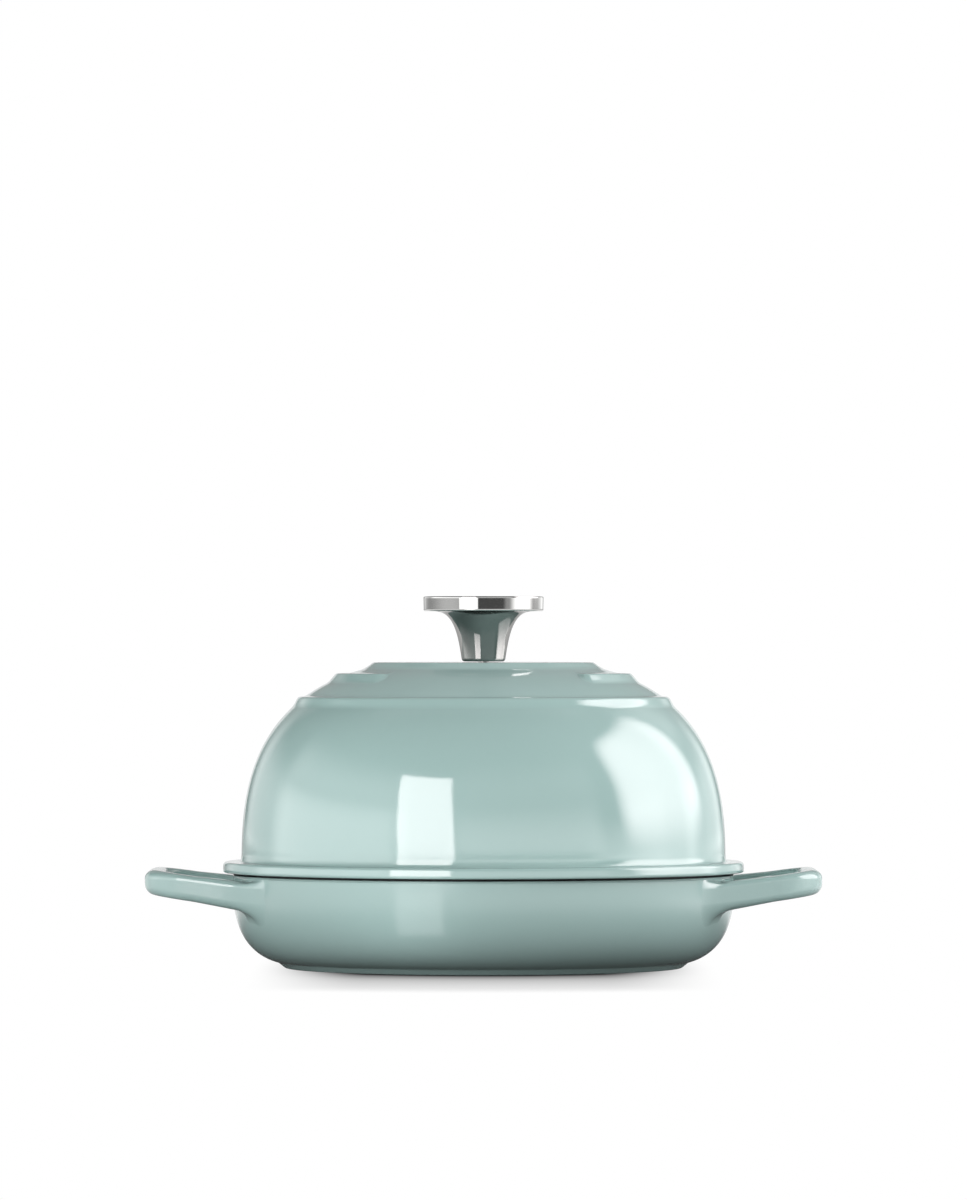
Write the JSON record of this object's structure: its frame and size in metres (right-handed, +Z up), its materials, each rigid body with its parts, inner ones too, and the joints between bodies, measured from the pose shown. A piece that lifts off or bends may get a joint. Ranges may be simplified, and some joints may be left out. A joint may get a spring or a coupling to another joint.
{
  "type": "cast iron bread oven",
  "caption": "Enamelled cast iron bread oven: shallow round pan with loop handles, tall stepped dome lid that lifts off, and a bolted flared steel knob.",
  "frame": {"origin": "centre of the pan's round foot, on the surface that it stands on", "axes": "+Z up along the axis of the pan, the lid and the knob; +X through the middle of one loop handle; +Y across the handles"},
  "size_m": [0.3306, 0.2548, 0.1815],
  "materials": {
    "pan_enamel": "glossy pale green enamel outside, matt black enamel inside",
    "lid_enamel": "glossy pale green enamel outside, matt black enamel inside",
    "knob_steel": "brushed stainless steel",
    "stem_steel": "polished stainless steel",
    "bush_steel": "turned stainless steel",
    "washer_steel": "stamped stainless steel",
    "screw_steel": "turned stainless steel"
  },
  "bodies": {
    "base": {"base_pan": "pan_enamel"},
    "lid": {"dome_lid": "lid_enamel", "knob_cap": "knob_steel", "knob_stem": "stem_steel", "knob_bush": "bush_steel", "knob_washer": "washer_steel", "knob_screw": "screw_steel"}
  },
  "joints": [
    {"name": "lid_lift", "type": "slide", "parent": "base", "child": "lid", "axis": [0, 0, 1], "range_m": [0, 0.2]}
  ]
}
